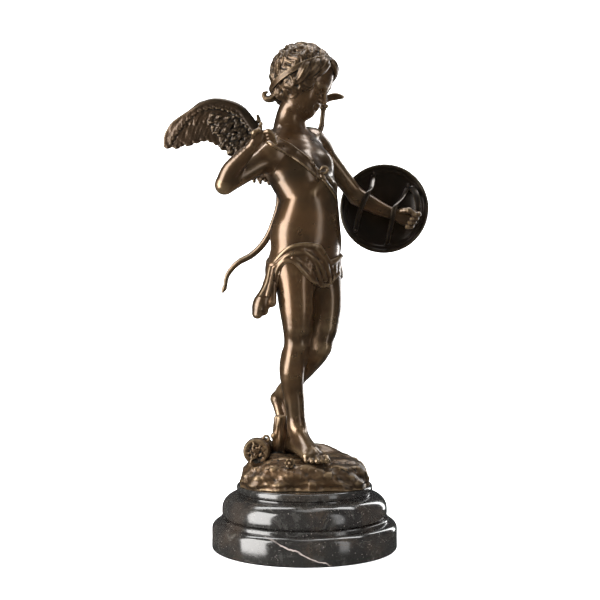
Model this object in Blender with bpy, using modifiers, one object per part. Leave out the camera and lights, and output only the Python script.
# A young winged Cupid in cast bronze with bow, shield and quiver, on a turned plinth of black marble.
# Metres, +Z up. The origin is the middle of the plinth's underside, and +X is to the right of the front view.
import math

import bmesh
import bpy
import numpy as np
from mathutils import Matrix, Vector

# Plinth, from its top to its underside
TOP_RING_RADIUS = 0.0616
TOP_RING_HEIGHT = 0.0070
RING_EDGE = 0.0024
GROOVE_DEPTH = 0.0012
GROOVE_HEIGHT = 0.0014
CUSHION_RADIUS = 0.0748
CUSHION_HEIGHT = 0.0208
FILLET_OUT = 0.0016
FILLET_HEIGHT = 0.0036
DRUM_RADIUS = 0.0838
DRUM_HEIGHT = 0.0245
DRUM_SHOULDER = 0.0062
FOOT_EDGE = 0.0018
PLINTH_STEPS = 52

# Bronze
SEAT_GAP = 0.0003
MOUND_MARGIN = 0.0044
MOUND_DEPTH_SHARE = 0.83
MOUND_HEIGHT = 0.0250
FIGURE_HEIGHT = 0.3800
VOXEL = 0.00165
BRONZE_TRIANGLES = 8000

PLINTH_HEIGHT = TOP_RING_HEIGHT + GROOVE_HEIGHT + CUSHION_HEIGHT + FILLET_HEIGHT + DRUM_HEIGHT
GROUND = PLINTH_HEIGHT + SEAT_GAP + MOUND_HEIGHT

# Pose and carving are in 380ths of the figure's height, from the ground under its standing foot
UNIT = FIGURE_HEIGHT / 380
HIP_LEFT = (0.675, 0.738, 0.0)
HIP_FRONT = (0.738, -0.675, 0.0)
CHEST_LEFT = (0.600, 0.744, 0.229)
CHEST_FRONT = (0.777, -0.630, 0.0)
SKULL = np.array((-1.5, 12.0, 345.5))
FACE = np.array((0.830, -0.302, -0.469))
FACE_LEFT = np.array((0.342, 0.940, 0.0))
FACE_UP = np.array((0.441, -0.160, 0.883))
FAR = 30.0
BLOCK = 4000


def unit(vectors):
    vectors = np.asarray(vectors, float)
    return vectors / np.maximum(np.linalg.norm(vectors, axis=-1, keepdims=True), 1e-9)


def smooth_curve(rows, count):
    """Rows at even steps of a Catmull-Rom curve through the given rows."""
    rows = np.vstack([2 * rows[0] - rows[1], rows, 2 * rows[-1] - rows[-2]])
    at = np.linspace(0, len(rows) - 3, count)
    first = np.minimum(at.astype(int), len(rows) - 4)
    t = (at - first)[:, None]
    a, b, c, d = (rows[first + i] for i in range(4))
    return 0.5 * (2 * b + (c - a) * t + (2 * a - 5 * b + 4 * c - d) * t**2 + (3 * b - a - 3 * c + d) * t**3)


def blended(a, b, width):
    """The lower of two distances, rounded where they meet."""
    near = np.maximum(width - np.abs(a - b), 0) / width
    return np.minimum(a, b) - near * near * width / 4


class Form:
    """One swept piece of clay: elliptical sections along a smooth line, joined to the rest over a blend width."""

    def __init__(self, points, sides, fronts=None, axis=(1, 0, 0), blend=3.0, cut=False):
        points = np.atleast_2d(np.asarray(points, float))
        if len(points) == 1:
            points = np.vstack([points, points + (0, 0, 0.01)])
        sides = np.broadcast_to(np.asarray(sides, float), len(points))
        fronts = sides if fronts is None else np.broadcast_to(np.asarray(fronts, float), len(points))
        axes = np.broadcast_to(np.asarray(axis, float), points.shape)
        rows = np.column_stack([points, sides, fronts, axes])
        length = np.linalg.norm(np.diff(points, axis=0), axis=1).sum()
        spacing = 0.7 * (sides + fronts).min() / 2
        self.rows = smooth_curve(rows, int(np.clip(math.ceil(length / spacing) + 1, 2, 90)))
        self.line = smooth_curve(rows, int(np.clip(math.ceil(length / (2 * spacing)), len(points), 30)))
        self.round = bool(np.allclose(sides, fronts))
        self.blend = blend
        self.cut = cut
        reach = self.rows[:, 3:5].max(axis=1, keepdims=True)
        self.low = (self.rows[:, :3] - reach).min(axis=0)
        self.high = (self.rows[:, :3] + reach).max(axis=0)

    def distance(self, at):
        if len(at) > BLOCK:
            return np.concatenate([self.distance(at[i:i + BLOCK]) for i in range(0, len(at), BLOCK)])
        first, step = self.line[:-1], np.diff(self.line, axis=0)
        along = step[:, :3]
        reach = np.maximum((along**2).sum(1), 1e-9)
        t = np.clip((at @ along.T - (first[:, :3] * along).sum(1)) / reach, 0, 1)
        away2 = np.zeros_like(t)
        for i in range(3):
            away2 += (at[:, i:i + 1] - first[:, i] - t * along[:, i]) ** 2
        gaps = np.sqrt(away2) - (first[:, 3] + first[:, 4] + t * (step[:, 3] + step[:, 4])) / 2
        if self.round:
            return gaps.min(axis=1)
        best = gaps.argmin(axis=1)
        row = first[best] + t[np.arange(len(at)), best][:, None] * step[best]
        away = at - row[:, :3]
        ahead = unit(along)[best]
        side = unit(row[:, 5:] - (row[:, 5:] * ahead).sum(1, keepdims=True) * ahead)
        front = np.cross(side, ahead)
        ends = row[:, 3:5].mean(axis=1)
        parts = np.column_stack([(away * side).sum(1), (away * front).sum(1), (away * ahead).sum(1)])
        radii = np.column_stack([row[:, 3], row[:, 4], ends])
        shares = np.linalg.norm(parts / radii, axis=1)
        slopes = np.linalg.norm(parts / radii**2, axis=1)
        return np.where(shares > 1e-6, shares * (shares - 1) / np.maximum(slopes, 1e-9), -ends)

    def pellets(self):
        """A row of places, 4 columns each, for balls that fill the form."""
        ahead = unit(np.gradient(self.rows[:, :3], axis=0))
        side = unit(self.rows[:, 5:] - (self.rows[:, 5:] * ahead).sum(1, keepdims=True) * ahead)
        front = np.cross(side, ahead)
        ends = self.rows[:, 3:5].mean(axis=1, keepdims=True)
        return np.stack([side * self.rows[:, 3:4], front * self.rows[:, 4:5], ahead * ends, self.rows[:, :3]], axis=2)


class Dish:
    """A round shallow bowl with a rolled rim, its hollow side along the given heading."""

    def __init__(self, centre, heading, radius, depth, wall, rim, blend=1.0):
        self.centre, self.heading = np.array(centre, float), unit(heading)
        self.radius, self.depth, self.wall, self.rim = radius, depth, wall, rim
        self.ball = (radius**2 + depth**2) / (2 * depth)
        self.blend, self.cut = blend, False
        self.low = self.centre - radius - depth
        self.high = self.centre + radius + depth

    def distance(self, at):
        away = at - self.centre
        height = away @ self.heading
        out = np.linalg.norm(away - height[:, None] * self.heading, axis=1)
        shell = np.abs(np.hypot(out, height - self.ball + self.depth) - self.ball) - self.wall / 2
        shell = np.maximum(shell, out - self.radius)
        ring = np.hypot(out - self.radius, height) - self.rim
        return blended(shell, ring, 1.5)

    def pellets(self):
        turn = np.array(Vector((0, 0, 1)).rotation_difference(Vector(self.heading)).to_matrix())
        places = []
        for radius in np.arange(0, self.radius, self.wall * 0.6):
            fall = math.sqrt(self.ball**2 - radius**2) - self.ball + self.depth
            places += self.ring(turn, radius, -fall, self.wall * 0.62)
        return np.array(places + self.ring(turn, self.radius, 0, self.rim))

    def ring(self, turn, radius, height, size):
        angles = np.linspace(0, math.tau, max(1, int(math.tau * radius / (size * 0.9))), endpoint=False)
        return [np.column_stack([np.eye(3) * size, self.centre + turn @ (radius * math.cos(a), radius * math.sin(a), height)])
                for a in angles]


class Mound:
    """The rocky ground: a flattened oval dome whose foot is level with the plinth's top."""

    def __init__(self, half_width, half_depth, height, blend=3.0):
        self.size = np.array((half_width, half_depth, height))
        self.blend, self.cut = blend, False
        self.low = np.array((-half_width, -half_depth, -2 * height))
        self.high = np.array((half_width, half_depth, 6.0))

    def distance(self, at):
        rise = at + (0, 0, self.size[2])
        shares = np.abs(rise) / (self.size * (1, 1, 1.02))
        lump = (shares**3).sum(axis=1) ** (1 / 3)
        rock = 0.9 * np.sin(0.21 * at[:, 0] + 1.3 * np.sin(0.13 * at[:, 1])) * np.sin(0.27 * at[:, 1] + 0.19 * at[:, 2])
        return (lump - 1) * self.size[2] * 0.95 - rock

    def pellets(self):
        places = []
        for x in np.linspace(-0.8, 0.8, 15):
            for y in np.linspace(-0.8, 0.8, 13):
                reach = 0.93 - abs(x) ** 3 - abs(y) ** 3
                if reach > 0.05:
                    at = np.array((x, y, 0)) * self.size - (0, 0, self.size[2])
                    tall = self.size[2] * reach ** (1 / 3)
                    places.append(np.column_stack([np.diag((9.0, 9.0, tall)), at]))
        return np.array(places)


class Wrap:
    """Cloth laid close round the hips: the body's own surface, thickened between an upper and a lower hem."""

    def __init__(self, body, thickness, blend=1.2):
        self.body, self.thickness = body, thickness
        self.blend, self.cut = blend, False
        self.low = np.array((-44.0, -44.0, 142.0))
        self.high = np.array((46.0, 44.0, 206.0))

    def hems(self, at):
        front = at @ np.array(HIP_FRONT) - 1.0
        left = at @ np.array(HIP_LEFT) - 1.0
        turn = np.arctan2(left, front)
        bare = np.exp(-((turn + 0.95) / 0.42) ** 2)
        upper = 188 + 3 * np.cos(turn + 0.6) + 1.2 * np.sin(5 * turn)
        lower = 160 - 4 * np.exp(-((turn - 0.15) / 0.5) ** 2) + 21 * bare + 1.5 * np.sin(7 * turn)
        return turn, upper, lower

    def distance(self, at):
        turn, upper, lower = self.hems(at)
        folds = 1.1 * np.sin(9 * turn + 0.16 * at[:, 2]) * np.clip((upper - at[:, 2]) / 12, 0, 1)
        cloth = layered(self.body, at) - self.thickness - folds
        return np.maximum(cloth, np.maximum(at[:, 2] - upper, lower - at[:, 2]) * 0.8)

    def pellets(self):
        turns, heights = np.meshgrid(np.linspace(-math.pi, math.pi, 72, endpoint=False), np.arange(148, 197, 2.5))
        out = np.cos(turns)[..., None] * np.array(HIP_FRONT) + np.sin(turns)[..., None] * np.array(HIP_LEFT)
        out = out.reshape(-1, 3)
        starts = out * 54 + (0.5, 1.0, 0.0) + heights.reshape(-1, 1) * np.array((0.0, 0.0, 1.0))
        _, upper, lower = self.hems(starts)
        within = (starts[:, 2] > lower + 1) & (starts[:, 2] < upper - 1)
        spots = laid_points(self.body, starts[within], -out[within])
        return np.array([np.column_stack([np.eye(3) * 2.6, spot]) for spot in spots])


def layered(forms, at):
    """The distance to all of the forms together, in their order."""
    total = np.full(len(at), FAR)
    for form in forms:
        reach = 7 + form.blend
        near = np.flatnonzero(((at > form.low - reach) & (at < form.high + reach)).all(axis=1))
        if not len(near):
            continue
        own = form.distance(at[near])
        if form.cut:
            total[near] = -blended(-total[near], own, form.blend)
        else:
            total[near] = blended(total[near], own, form.blend)
    return total


def laid_points(forms, starts, heading, lift=0.0):
    """Where straight ways from the starts along heading meet the forms. Ways that miss them are left out."""
    starts = np.array(starts, float)
    at = starts.copy()
    heading = np.broadcast_to(unit(heading), at.shape)
    for _ in range(24):
        gap = layered(forms, at) - lift
        at = at + heading * np.clip(gap, -2.0, 16.0)[:, None]
    met = (np.abs(layered(forms, at) - lift) < 1.0) & (np.linalg.norm(at - starts, axis=1) < 160)
    return at[met]


def laid(forms, route, heading, lift=0.0):
    """A route moved along heading onto the forms, and the direction across it in their surface."""
    points = laid_points(forms, smooth_curve(np.array(route, float), 3 * len(route)), heading, lift)
    step = 0.2
    slope = [layered(forms, points + step * axis) - layered(forms, points - step * axis) for axis in np.eye(3)]
    ahead = unit(np.gradient(points, axis=0))
    return points, unit(np.cross(unit(np.column_stack(slope)), ahead))


def head_point(ahead, left, up):
    return SKULL + FACE * ahead + FACE_LEFT * left + FACE_UP * up


def trunk():
    spine = [(0.5, 1, 178), (1.8, 0, 191), (1, -1, 200), (2, -2, 209), (3.6, -3, 221), (4.5, -4, 232),
             (0.5, -1, 245), (-4.5, 3, 258), (-8, 7, 271), (-11, 10.5, 283), (-13.3, 12, 293)]
    wide = [34, 36, 36, 33.5, 30.5, 28.5, 31, 34.5, 33, 24, 13]
    deep = [27, 28.5, 29, 27.5, 25.5, 23.5, 24.5, 25.5, 23, 17, 12]
    share = np.linspace(0, 1, len(spine))[:, None]
    axis = np.array(HIP_LEFT) * (1 - share) + np.array(CHEST_LEFT) * share
    left, front = np.array(HIP_LEFT), np.array(HIP_FRONT)
    forms = [Form(spine, wide, deep, axis)]
    forms.append(Form([(0, 0, 201) + front * 13, (1, -2, 212) + front * 11], 16.5, blend=12))
    for side in (-1, 1):
        forms.append(Form([(0.5, 1, 170) - front * 13 + left * 14 * side], 19, blend=9))
        chest_left, chest_front = np.array(CHEST_LEFT), np.array(CHEST_FRONT)
        forms.append(Form([(-5.5, 4.5, 262) + chest_front * 13.5 + chest_left * 13 * side], 13, blend=7))
        forms.append(Form([(-8, 7, 266) - chest_front * 13 + chest_left * 15 * side], 11, blend=8))
    forms.append(Form([(-13, 12, 299), (-19, 2, 288), (-25, -9, 279)], [8, 8, 9], blend=8))
    forms.append(Form([(-13, 13, 300), (-4, 24, 296), (6, 32, 292)], [8, 8, 9], blend=8))
    forms.append(Form([(-13.3, 12, 288), (-13.8, 12, 300), (-11.5, 12, 311), (-6, 12, 322)],
                      [12.5, 11.4, 11.2, 12.5], blend=7))
    forms.append(Form([np.array((2.2, -2, 211)) + front * 29.6], 1.5, blend=1.5, cut=True))
    return forms


def leg(path, radii, calf, knee, quad):
    forms = [Form(path, radii, blend=8)]
    forms.append(Form(calf[0], calf[1], blend=6))
    forms.append(Form([knee[0]], knee[1], blend=4))
    forms.append(Form(quad[0], quad[1], blend=8))
    return forms


def legs():
    standing = leg([(-11, -11, 176), (-9, -11, 141), (-7.2, -10, 119), (-7.7, -8, 100), (-10.9, -4, 78),
                    (-10.5, 0, 61), (-8.6, 2, 45), (-6.8, 4, 23)],
                   [17.5, 15, 13, 11, 10.8, 9.6, 8.2, 7],
                   ([(-13.5, -1, 92), (-13.5, 0, 80), (-12.5, 1, 64)], [7, 8.6, 6.5]),
                   ((-4.4, -12.5, 101), 6.6),
                   ([(-7, -16, 162), (-5, -15, 138), (-5, -13, 118)], [12, 12, 9]))
    crossed = leg([(12.5, 14, 176), (18.8, 6, 141), (17.7, 0, 119), (14, -4, 98), (7, 9, 86), (-6.9, 31, 68),
                   (-18.4, 47, 54)],
                  [17, 14, 12, 10.3, 9.8, 8.2, 6.4],
                  ([(5, 14, 88), (-1, 22, 81), (-8, 33, 71)], [7.5, 8.4, 6.5]),
                  ((17.3, -8, 98), 6.4),
                  ([(20, 6, 160), (21, 0, 138), (20, -5, 118)], [12, 11, 8.6]))
    return standing + crossed


def feet():
    across = (0.90, 0.43, 0.0)
    ahead = np.array((0.43, -0.90, 0.0))
    forms = [Form([(-12.2, 13, 6.8), (-6.5, -2, 9), (2, -19, 6.2), (7, -28, 4.2)], [6.8, 7.6, 10.2, 10.6],
                  [6.8, 7.6, 5.6, 4.0], across, blend=3)]
    forms.append(Form([(-6.8, 3, 22), (-1.5, -9, 15), (5.5, -23, 6.5)], [7, 7, 5.5], blend=5))
    forms.append(Form([(-11, 9, 18), (-12, 12, 8)], [5, 5.5], blend=4))
    for side in (-1, 1):
        forms.append(Form([np.array((-6.6, 2, 24)) + np.array(across) * 6.2 * side], 2.8, blend=3))
    for i in range(5):
        base = np.array((-1.6, -25.5, 3.6)) + np.array((4.5, -0.6, 0)) * i
        stretch = 8 + 1.6 * math.sin(i * 0.9)
        thick = 2.2 if i < 4 else 3.1
        forms.append(Form([base, base + ahead * stretch * 0.55 + (0, 0, 0.9), base + ahead * stretch - (0, 0, 1.2)],
                          [thick, thick, thick * 0.95], blend=1.0))
    back_left = np.array(HIP_LEFT)
    forms.append(Form([(-24, 54, 46), (-19.5, 48.5, 29), (-14, 42, 12), (-11, 38, 7)], [6.2, 6.4, 8.2, 8.0],
                      [6.2, 5, 4.8, 4.2], back_left, blend=3))
    forms.append(Form([(-17.5, 46, 55), (-13, 41, 36), (-10.5, 38.5, 16)], [6.4, 5.6, 4.6], blend=5))
    for i in range(5):
        base = np.array((-10.5, 37, 5.5)) + back_left * (i - 2) * 3.6
        tip = base + np.array((5.5, -5.0, -3.2)) * (1.0 + 0.1 * math.sin(i))
        forms.append(Form([base, tip], [2.3, 2.1 if i else 2.9], blend=1.2))
    return forms


def arms():
    forms = [Form([(-24, -13, 273), (-30, -18, 270)], [13, 12], blend=8)]
    forms.append(Form([(-29, -17, 270), (-50, -27, 256), (-70, -36, 241.5)], [11.5, 9.6, 8.4], blend=5))
    forms.append(Form([(-70.5, -37, 242), (-64.5, -40.5, 254), (-54, -44.5, 265), (-45.2, -48, 274)],
                      [8.2, 8.2, 6.8, 4.6], blend=2.5))
    forms.append(Form([(8, 33, 289), (14, 36, 283)], [12.5, 11.5], blend=8))
    forms.append(Form([(14, 36, 283), (32, 37, 261), (49.7, 38, 238.5)], [10.8, 8.8, 8.0], blend=5))
    forms.append(Form([(49.7, 38, 238.5), (60, 37, 233), (72, 34, 226.5), (84, 31, 221.5)], [8, 8.2, 6.8, 5.2],
                      blend=3))
    return forms


def hands():
    forms = [Form([(-45, -48, 274.5), (-40.5, -50.5, 280.5), (-38.5, -51.5, 284)], [4.6, 5.4, 4.4], [4.6, 3.8, 3.4],
                  (0.85, -0.2, -0.45), blend=2)]
    forms.append(Form([(-40.5, -52, 284), (-38.6, -53, 288.5), (-37.6, -52.5, 293)], [2.2, 2.0, 1.7], blend=1))
    for i in range(3):
        base = np.array((-37.5, -51.5, 284.5)) + np.array((0.6, 1.8, -2.6)) * i
        forms.append(Form([base, base + (6.5, -3, 1.5), base + (11, -2, -2.6)], [2.2, 2.1, 1.8], blend=1))
    forms.append(Form([(-44, -50, 279), (-43.5, -54.5, 284.5), (-39.5, -56, 287)], [2.6, 2.3, 1.9], blend=1.2))
    forms.append(Form([(84, 31, 221.5), (91, 30, 219), (98, 29, 217.5)], [5.2, 6.8, 7.2], [5.2, 4.8, 4.4],
                      (-0.4, 0.1, 0.9), blend=2))
    for i in range(4):
        base = np.array((104, 30.5, 222.5)) + np.array((-2.2, 0, -3.7)) * i
        forms.append(Form([base - (6, 0, -2), base, base + (2.4, -5, -1.5), base + (-2, -9, -2.5)], 2.25, blend=0.9))
    forms.append(Form([(90, 26, 224), (97, 22, 224), (102, 21.5, 221)], [2.8, 2.6, 2.1], blend=1.5))
    return forms


def face():
    forms = [Form([head_point(-2, 0, 3)], 27, blend=4)]
    forms.append(Form([head_point(4, 0, -4), head_point(10, 0, -15), head_point(15, 0, -23)], [20, 16, 9], blend=8))
    forms.append(Form([head_point(18, 0, -24.5)], 6.8, blend=5))
    forms.append(Form([head_point(9, 0, 6)], 17.5, blend=8))
    for side in (-1, 1):
        forms.append(Form([head_point(14, 8.5 * side, -14.5)], 8.4, blend=7))
        forms.append(Form([head_point(2, 15 * side, -16), head_point(12, 7 * side, -25)], [6, 6], blend=7))
        forms.append(Form([head_point(27, 7.2 * side, -4.5)], 4.2, blend=4, cut=True))
        forms.append(Form([head_point(19.6, 7.4 * side, -4.8)], 4.2, blend=1.2))
    forms.append(Form([head_point(24, 0, -1), head_point(27.5, 0, -7), head_point(29.3, 0, -11)], [2.0, 2.3, 2.8],
                      blend=2.5))
    for side in (-1, 1):
        forms.append(Form([head_point(26.2, 2.6 * side, -11.8)], 1.9, blend=1.6))
    forms.append(Form([head_point(25.2, -4.2, -17), head_point(26.6, 0, -16.4), head_point(25.2, 4.2, -17)], 1.4,
                      blend=1.4))
    forms.append(Form([head_point(24.6, -3.4, -19.2), head_point(25.9, 0, -19.8), head_point(24.6, 3.4, -19.2)], 1.5,
                      blend=1.2))
    return forms


def hair():
    forms = [Form([head_point(-5, 0, 6)], 29.6, 27.5, FACE, blend=3)]
    forms.append(Form([head_point(2, 0, 12)], 25, blend=6))
    tilt = unit(FACE_UP * 0.69 - FACE * 0.724)
    across = unit(np.cross(FACE_LEFT, tilt))
    middle = SKULL + tilt * 8.5
    for i in range(34):
        turn = i * 2.39996
        rise = 1 - 1.62 * (i + 0.5) / 34
        low = rise < 0.23
        spread = math.sqrt(max(1 - rise * rise, 0.05))
        out = tilt * rise + (FACE_LEFT * math.cos(turn) + across * math.sin(turn)) * spread
        brow = (out @ FACE > 0.62) and (out @ FACE_UP < 0.35)
        if brow:
            continue
        start = SKULL + tilt * 3 + out * 28.5
        flow = unit(np.cross(out, tilt) * (1 if i % 2 else -1) * 0.7 - tilt * (0.5 if rise < 0.9 else 0.1))
        size = 3.9 if low else 3.0
        curl = unit(np.cross(out, flow))
        forms.append(Form([start, start + flow * 6 + out * 1.2 + curl * 2.5, start + flow * 11 - curl * 2,
                           start + flow * 14 - out * 2], [size * 0.7, size, size * 0.9, size * 0.5], blend=1.6))
    forelock = [head_point(16, -9, 22), head_point(25, -7, 18), head_point(28.5, -8, 10), head_point(24, -13, 6)]
    forms.append(Form(forelock, [6, 7, 6, 3.5], blend=2))
    forms.append(Form([head_point(16, 8, 22), head_point(25, 7, 17), head_point(27, 11, 9), head_point(20, 17, 5)],
                      [6, 7, 6, 3.5], blend=2))
    for side in (-1, 1):
        for ahead, up, size in ((10, -6, 5.5), (3, -12, 6), (-5, -16, 6), (-12, -20, 6.5)):
            out = 21.5 if ahead > 0 else 19.5
            forms.append(Form([head_point(ahead, out * side, up + 4), head_point(ahead - 4, (out + 2) * side, up),
                               head_point(ahead - 1, out * side, up - 4)], [size * 0.8, size, size * 0.6], blend=1.5))
    forms.append(Form([head_point(-16, -8, -16), head_point(-21, -6, -25), head_point(-28, -6, -27),
                       head_point(-30, -7, -22)], [7, 6, 4.2, 2], blend=2))
    forms.append(Form([head_point(-18, 0, -12), head_point(-18, 4, -22), head_point(-14, 6, -29)], [9, 8, 5], blend=2))
    ring = [middle + (FACE_LEFT * 27.2 * math.cos(a) + across * 29.6 * math.sin(a)) for a in
            np.linspace(0, 2 * math.pi, 25)]
    forms.append(Form(ring, 2.6, 1.5, tilt, blend=0.8))
    return forms


def drapery(body):
    forms = [Wrap(body, 2.4)]
    roll, across = laid(body, [(-34, -70, 178), (-24, -70, 187), (-10, -70, 191), (-2, -70, 192.5), (10, -70, 191.5),
                               (22, -70, 187), (31, -70, 183)], (0, 1, 0), 1.5)
    forms.append(Form(roll, 2.6, 2.2, across, blend=1.2))
    back, across = laid(body, [(32, 70, 186), (20, 70, 190), (0, 70, 191), (-16, 70, 189), (-30, 70, 182)],
                        (0, -1, 0), 1.5)
    forms.append(Form(back, 2.8, 2.2, across, blend=1.2))
    edge, across = laid(body, [(-27, -70, 165), (-22, -70, 175), (-14, -70, 180), (-6, -70, 181.5), (1, -70, 179)],
                        (0, 1, 0), 2.0)
    forms.append(Form(edge, 3.0, 2.0, across, blend=1.5))
    for start, end in (((1, 183), (14, 158)), ((4, 188), (20, 157)), ((14, 189), (27, 160)), ((-2, 180), (8, 163))):
        fold, across = laid(body, [(start[0], -70, start[1]), ((start[0] + end[0]) / 2 - 2, -70, (start[1] + end[1]) / 2),
                                   (end[0], -70, end[1])], (0, 1, 0), 2.2)
        forms.append(Form(fold, 1.9, 1.7, across, blend=2))
    forms.append(Form([(-27, -22, 178), (-29, -24, 164), (-28, -24, 150), (-24.5, -23, 138)], [4.5, 4.5, 4.2, 3.2],
                      [3.2, 3.4, 3.2, 2.4], HIP_FRONT, blend=2))
    forms.append(Form([(-29, -22, 166), (-33, -24, 152), (-35.5, -25, 140), (-33, -25, 131)], [5, 6.5, 8.2, 6.4],
                      [3.4, 4.6, 5.6, 4.6], HIP_FRONT, blend=2.5))
    forms.append(Form([(-31, -28, 150), (-31.5, -31, 138), (-29.5, -30, 130)], [1.8, 2.2, 1.6], blend=2))
    return forms


def baldric(body):
    route = [(-29, -80, 284), (-24, -80, 280), (-13, -80, 274), (-2, -80, 266), (8, -80, 257), (14, -80, 252)]
    line, across = laid(body, route, (0, 1, 0), 0.3)
    forms = [Form(line, np.linspace(6.2, 3.4, len(line)), 1.1, across, blend=0.8)]
    lower = line + across * np.linspace(5.6, 3.0, len(line))[:, None] * np.sign(-across[:, 2:3])
    forms.append(Form(lower, 0.9, blend=0.7))
    route = [(14, -80, 252), (19, -80, 246), (24, -80, 240), (28, -80, 234)]
    line, across = laid(body, route, (0, 1, 0), 0.3)
    forms.append(Form(line, 2.5, 1.1, across, blend=0.8))
    back = [(-30, 80, 284), (-24, 80, 272), (-12, 80, 258), (4, 80, 246), (18, 80, 238), (27, 80, 234)]
    line, across = laid(body, back, (0, -1, 0), 0.3)
    forms.append(Form(line, 4.5, 1.1, across, blend=0.8))
    over = [(-29, -17, 330), (-31, -10, 330), (-32, -2, 330), (-31, 5, 330)]
    line, across = laid(body, over, (0, 0, -1), 0.3)
    forms.append(Form(line, 5.0, 1.1, across, blend=0.8))
    knot = laid_points(body, [(13.5, -80, 252)], (0, 1, 0))[0]
    forms.append(Form([knot], 2.8, blend=1))
    for turn, size in ((0.5, 4.2), (2.7, 4.4), (-1.0, 6.0), (-2.2, 5.0)):
        out = np.array((math.cos(turn), -0.25, math.sin(turn)))
        loop = [knot, knot + out * size * 0.7 + (0, -2.2, 0.8), knot + out * size, knot + out * size * 0.6 - (0, 0, 1.2)]
        forms.append(Form(loop, [1.0, 1.2, 1.2, 1.0], blend=0.8))
    return forms


def bow():
    path = [(-73.6, 17, 151.5), (-71, 17, 164.3), (-61.5, 16, 175.4), (-48.2, 14, 182.7), (-37, 11.5, 194), (-29.6, 9.5, 208),
            (-23, 9, 229), (-23, 20, 249), (-15, 36, 270), (3, 48, 288), (15, 52, 303), (17.4, 52, 316), (18.5, 52, 328),
            (22, 52, 335)]
    forms = [Form(path, [1.9, 2.3, 2.8, 3.1, 3.2, 3.2, 3.4, 3.4, 3.4, 3.2, 2.9, 2.4, 2.3, 2.6], blend=1.2)]
    forms.append(Form([(20, 52, 334), (27, 52, 337), (34.5, 52, 336.5)], [2.6, 3.1, 2.4], blend=1))
    for turn in np.linspace(0, math.tau, 6):
        at = np.array((18.6 + 2.6 * math.cos(turn), 50.5, 326 + 3 * math.sin(turn)))
        forms.append(Form([at], 1.7, blend=0.8))
    forms.append(Form([(-74, 17, 152), (-75.5, 17, 149)], [2.4, 1.6], blend=0.8))
    return forms


def shield():
    centre, heading = np.array((75.9, 48.0, 228.0)), unit((-0.15, -1.0, -0.05))
    forms = [Dish(centre, heading, 40.6, 9.0, 2.4, 1.7)]
    bands = [([(66.5, 52, 262), (63, 34, 247), (59, 26, 240), (52, 28, 224), (48.5, 46, 207)], 2.4),
             ([(98.5, 49, 249), (92, 34, 237), (84, 23, 227), (81.5, 27, 214), (79, 52, 194)], 2.2),
             ([(101, 49, 250), (105, 36, 240), (106, 30, 226), (104, 33, 214)], 2.8)]
    for path, half in bands:
        forms.append(Form(path, half, 1.6, (0.85, -0.1, 0.4), blend=1))
    for at in ((98.5, 46, 249), (79, 51, 195), (48.5, 45, 207)):
        forms.append(Form([at], 2.6, blend=0.8))
    return forms


def wing(root, outward, facing):
    """A wing in its own plane: outward runs away from the body, facing is the side that shows its hollow."""
    root, outward, facing = np.array(root, float), unit(outward), unit(facing)

    def spot(out, up, lift=0.0):
        return root + outward * out + facing * (lift + 3.5 * math.sin(out / 97 * math.pi)) + np.array((0, 0, up))

    edge = [(-4, -2), (12, 18), (23, 33), (32, 44.5), (43, 50), (56, 52), (69, 48.5), (81, 39.5), (91, 27.5), (97, 17.5)]
    forms = [Form([spot(out, up) for out, up in edge], [8, 6.5, 5.8, 5.2, 4.6, 4.2, 3.7, 3.0, 2.4, 1.8], blend=2)]
    count = 10
    for i in range(count):
        share = i / (count - 1)
        start = np.array((80 - 48 * share, 40 - 2 * share + 12 * math.sin(share * math.pi)))
        tip = np.array((99.5 - 46 * share, 12.5 + 12 * share**1.5 + 1.5 * math.sin(i * 2.1)))
        bulge = np.array((4.5 - 2 * share, 1.5))
        path = [start, start * 0.6 + tip * 0.4 + bulge, start * 0.25 + tip * 0.75 + bulge * 0.7, tip]
        tilt = outward + facing * 0.22
        forms.append(Form([spot(out, up, 0.35 * (i % 3)) for out, up in path], [3.6, 4.4, 4.2, 2.4], [1.5, 1.3, 1.1, 0.9],
                          tilt, blend=0.8))
    for i in range(40):
        across, down = (i % 8) / 7, (i // 8) / 4
        out = 24 + 26 * across + 3.0 * math.sin(i * 1.7) - 12 * down * (1 - across)
        up = 41 - 24 * down - 12 * (1 - across) * (0.4 + down) + 2.0 * math.cos(i * 2.3)
        lean = np.array((2.6 * math.cos(i * 1.1), -4.2))
        forms.append(Form([spot(out, up, 1.2), spot(out + lean[0], up + lean[1] * 0.6, 2.6),
                           spot(out + lean[0] * 0.4, up + lean[1], 1.4)], [2.4, 2.8, 1.8], blend=1.2))
    for i in range(10):
        share = i / 9
        out = 8 + 9 * math.sin(i * 1.9) + 6 * share
        forms.append(Form([spot(out, 20 - 34 * share, 1.0), spot(out + 1.5, 15 - 34 * share, 2.2)], [3.6, 2.4], blend=1.5))
    return forms


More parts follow.
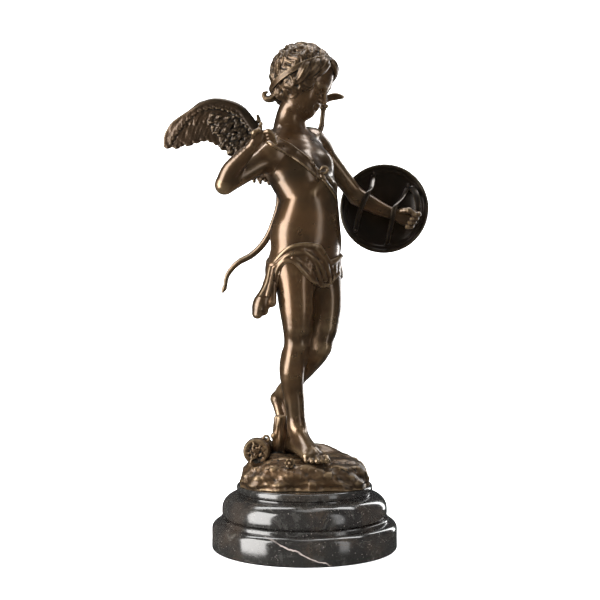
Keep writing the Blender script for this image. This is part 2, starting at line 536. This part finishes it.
def ground(half_width, half_depth, height):
    forms = [Mound(half_width, half_depth, height)]
    forms.append(Form([(-6, 26, -1), (16, 24, 0), (34, 16, -8)], [7, 7.5, 7], blend=6))
    forms.append(Form([(20, -22, -8), (34, -14, -10), (42, 2, -12)], [7, 8, 7], blend=5))
    forms.append(Form([(-44, -14, -13), (-30, -28, -14), (-10, -36, -15)], [7, 8, 7], blend=4))
    forms.append(Form([(-22, 15, -6), (-22.5, 15, 10), (-21.6, 15.5, 31)], [9, 7.4, 6.8], blend=2.5))
    forms.append(Form([(-28, 12, 16)], 3.2, blend=2))
    forms.append(Form([(-21.6, 15.5, 37.6)], 6.2, blend=0.8, cut=True))
    quiver = [(-43.2, -8, 5), (-41.5, 6, 4.5), (-38, 24, 3.5), (-35, 38, 1)]
    forms.append(Form(quiver, [11.6, 10.4, 9.6, 8], blend=1.2))
    forms.append(Form([(-43.4, -10.5, 5), (-43, -6.5, 5)], [12, 12], blend=0.8))
    forms.append(Form([(-43.6, -24, 5.2)], 12.4, blend=0.8, cut=True))
    for i in range(7):
        turn = i * 2.39996
        away = 2.6 * math.sqrt(i)
        at = np.array((-43.5 + away * math.cos(turn), -13, 5.2 + away * math.sin(turn)))
        forms.append(Form([at + (0.3, 8, 0), at - (0, 3.4, 0)], [2.4, 1.7], [1.5, 1.0],
                          (math.cos(turn * 1.7), 0, math.sin(turn * 1.7)), blend=0.5))
    for turn in np.linspace(0, math.tau, 9):
        at = np.array((-34.6 + 2.6 * math.cos(turn), -9, 16.2 + 2.6 * math.sin(turn)))
        forms.append(Form([at], 1.3, blend=0.5))
    for i in range(5):
        turn = i * math.tau / 5
        at = np.array((-13, -36.5, -0.5))
        forms.append(Form([at, at + (3.4 * math.cos(turn), -1.2, 3.4 * math.sin(turn))], [1.6, 2.2], blend=0.8))
    return forms


def bronze_forms():
    body = trunk() + legs()
    skin = body + arms()
    half_width = (TOP_RING_RADIUS - MOUND_MARGIN) / UNIT
    forms = skin + drapery(body) + feet() + hands() + face() + hair() + baldric(skin) + bow() + shield()
    forms += wing((-27, 10, 270), (-1, 0.04, 0), (0, -1, 0))
    forms += wing((-12, 28, 270), (-0.03, 1, 0), (1, 0, 0))
    return forms + ground(half_width, half_width * MOUND_DEPTH_SHARE, MOUND_HEIGHT / UNIT)


def settle(points, forms, rounds):
    """Moves points onto the forms' common surface along its own slope."""
    step = 0.05
    for _ in range(rounds):
        gap = layered(forms, points)
        slope = np.column_stack([layered(forms, points + step * axis) - gap for axis in np.eye(3)]) / step
        move = gap / np.maximum((slope**2).sum(axis=1), 0.25)
        points = points - np.clip(move, -1.2, 1.2)[:, None] * slope
    return points


def applied(obj):
    """The object's mesh with its modifiers done, in place of its own."""
    graph = bpy.context.evaluated_depsgraph_get()
    done = bpy.data.meshes.new_from_object(obj.evaluated_get(graph))
    obj.modifiers.clear()
    obj.data = done
    return done


def pressed(name, places):
    """One mesh of balls, each stretched and moved to its place."""
    ball = bmesh.new()
    bmesh.ops.create_icosphere(ball, subdivisions=2, radius=1)
    corners = np.array([vert.co for vert in ball.verts])
    faces = np.array([[vert.index for vert in face.verts] for face in ball.faces])
    ball.free()
    points = np.einsum("nij,vj->nvi", places[:, :, :3], corners) + places[:, None, :, 3]
    flip = np.linalg.det(places[:, :, :3]) < 0
    turns = np.where(flip[:, None, None], faces[None, :, ::-1], faces[None])
    turns = turns + (np.arange(len(places)) * len(corners))[:, None, None]
    mesh = bpy.data.meshes.new(name)
    mesh.vertices.add(points.size // 3)
    mesh.vertices.foreach_set("co", points.astype(np.float32).ravel())
    mesh.loops.add(turns.size)
    mesh.loops.foreach_set("vertex_index", turns.astype(np.int32).ravel())
    mesh.polygons.add(turns.size // 3)
    mesh.polygons.foreach_set("loop_start", np.arange(0, turns.size, 3, dtype=np.int32))
    mesh.update(calc_edges=True)
    return mesh


def clay_object(name, forms, collection):
    """The forms as one closed surface of even faces, settled and then thinned to the triangles it needs."""
    mesh = pressed(name, np.concatenate([form.pellets() for form in forms if not form.cut]))
    obj = bpy.data.objects.new(name, mesh)
    collection.objects.link(obj)
    remesh = obj.modifiers.new("one skin", "REMESH")
    remesh.mode = "VOXEL"
    remesh.voxel_size = VOXEL / UNIT
    mesh = applied(obj)
    points = np.empty(len(mesh.vertices) * 3, np.float32)
    mesh.vertices.foreach_get("co", points)
    points = settle(points.reshape(-1, 3).astype(float), forms, 3)
    mesh.vertices.foreach_set("co", points.astype(np.float32).ravel())
    keep_largest(mesh)
    thin = obj.modifiers.new("thin", "DECIMATE")
    thin.ratio = min(1.0, BRONZE_TRIANGLES / (2 * len(mesh.polygons)))
    thin.use_collapse_triangulate = True
    applied(obj)
    return obj


def keep_largest(mesh):
    """Drops loose crumbs that no other face touches."""
    work = bmesh.new()
    work.from_mesh(mesh)
    left = set(work.verts)
    islands = []
    while left:
        island, edge = set(), [left.pop()]
        while edge:
            vert = edge.pop()
            island.add(vert)
            for link in vert.link_edges:
                other = link.other_vert(vert)
                if other in left:
                    left.remove(other)
                    edge.append(other)
        islands.append(island)
    islands.sort(key=len)
    for island in islands[:-1]:
        bmesh.ops.delete(work, geom=list(island), context="VERTS")
    work.to_mesh(mesh)
    work.free()


def seated(obj):
    """Puts the bronze at its real size on the plinth and cuts its foot off flat there."""
    work = bmesh.new()
    work.from_mesh(obj.data)
    work.transform(Matrix.Translation((0, 0, GROUND)) @ Matrix.Scale(UNIT, 4))
    floor = Vector((0, 0, PLINTH_HEIGHT + SEAT_GAP))
    cut = bmesh.ops.bisect_plane(work, geom=work.verts[:] + work.edges[:] + work.faces[:], dist=1e-7, plane_co=floor,
                                 plane_no=(0, 0, -1), clear_outer=True)
    rim = [item for item in cut["geom_cut"] if isinstance(item, bmesh.types.BMEdge)]
    bmesh.ops.triangle_fill(work, edges=rim, use_beauty=True, use_dissolve=False)
    bmesh.ops.recalc_face_normals(work, faces=work.faces)
    work.to_mesh(obj.data)
    work.free()


def arc(centre, radii, first, last, count):
    """Points of an elliptical arc, in degrees, as radius and height."""
    angles = np.radians(np.linspace(first, last, count))
    return [(centre[0] + radii[0] * math.cos(a), centre[1] + radii[1] * math.sin(a)) for a in angles]


def plinth_profile():
    """The turned outline from the middle of the top, down the outer side, to the middle of the underside."""
    ring_foot = PLINTH_HEIGHT - TOP_RING_HEIGHT
    cushion_top = ring_foot - GROOVE_HEIGHT
    cushion_foot = cushion_top - CUSHION_HEIGHT
    drum_top = cushion_foot - FILLET_HEIGHT
    groove = TOP_RING_RADIUS - GROOVE_DEPTH
    fillet = CUSHION_RADIUS + FILLET_OUT
    points = [(0, PLINTH_HEIGHT)]
    points += arc((TOP_RING_RADIUS - RING_EDGE, PLINTH_HEIGHT - RING_EDGE), (RING_EDGE, RING_EDGE), 90, 0, 4)
    points += [(TOP_RING_RADIUS, ring_foot + RING_EDGE / 2), (groove, ring_foot), (groove, cushion_top)]
    shoulder = CUSHION_HEIGHT * 0.62
    points += arc((groove, cushion_top - shoulder), (CUSHION_RADIUS - groove, shoulder), 76, 0, 6)
    points += [(CUSHION_RADIUS, cushion_foot), (fillet, cushion_foot - FILLET_HEIGHT * 0.25), (fillet, drum_top)]
    points += arc((fillet, drum_top - DRUM_SHOULDER), (DRUM_RADIUS - fillet, DRUM_SHOULDER), 68, 0, 4)
    points += [(DRUM_RADIUS, FOOT_EDGE), (DRUM_RADIUS - FOOT_EDGE, 0), (0, 0)]
    return points


def plinth_object(name, collection):
    mesh = bpy.data.meshes.new(name)
    outline = bmesh.new()
    verts = [outline.verts.new((radius, 0, height)) for radius, height in plinth_profile()]
    for pair in zip(verts[:-1], verts[1:]):
        outline.edges.new(pair)
    outline.to_mesh(mesh)
    outline.free()
    obj = bpy.data.objects.new(name, mesh)
    collection.objects.link(obj)
    turned = obj.modifiers.new("turned", "SCREW")
    turned.steps = turned.render_steps = PLINTH_STEPS
    turned.use_merge_vertices = True
    turned.merge_threshold = 1e-5
    turned.use_smooth_shade = True
    return obj


def material(name, color, roughness, metallic):
    made = bpy.data.materials.new(name)
    made.use_nodes = True
    shader = made.node_tree.nodes["Principled BSDF"]
    shader.inputs["Base Color"].default_value = (*color, 1)
    shader.inputs["Roughness"].default_value = roughness
    shader.inputs["Metallic"].default_value = metallic
    return made


def main():
    for obj in list(bpy.data.objects):
        bpy.data.objects.remove(obj)
    collection = bpy.data.collections.new("cupid statue")
    bpy.context.scene.collection.children.link(collection)
    plinth = plinth_object("marble_plinth", collection)
    plinth.data.materials.append(material("black marble", (0.012, 0.011, 0.012), 0.15, 0.0))
    cupid = clay_object("bronze_cupid", bronze_forms(), collection)
    seated(cupid)
    cupid.data.materials.append(material("brown bronze", (0.16, 0.09, 0.045), 0.32, 1.0))
    cupid.data.shade_smooth()


main()
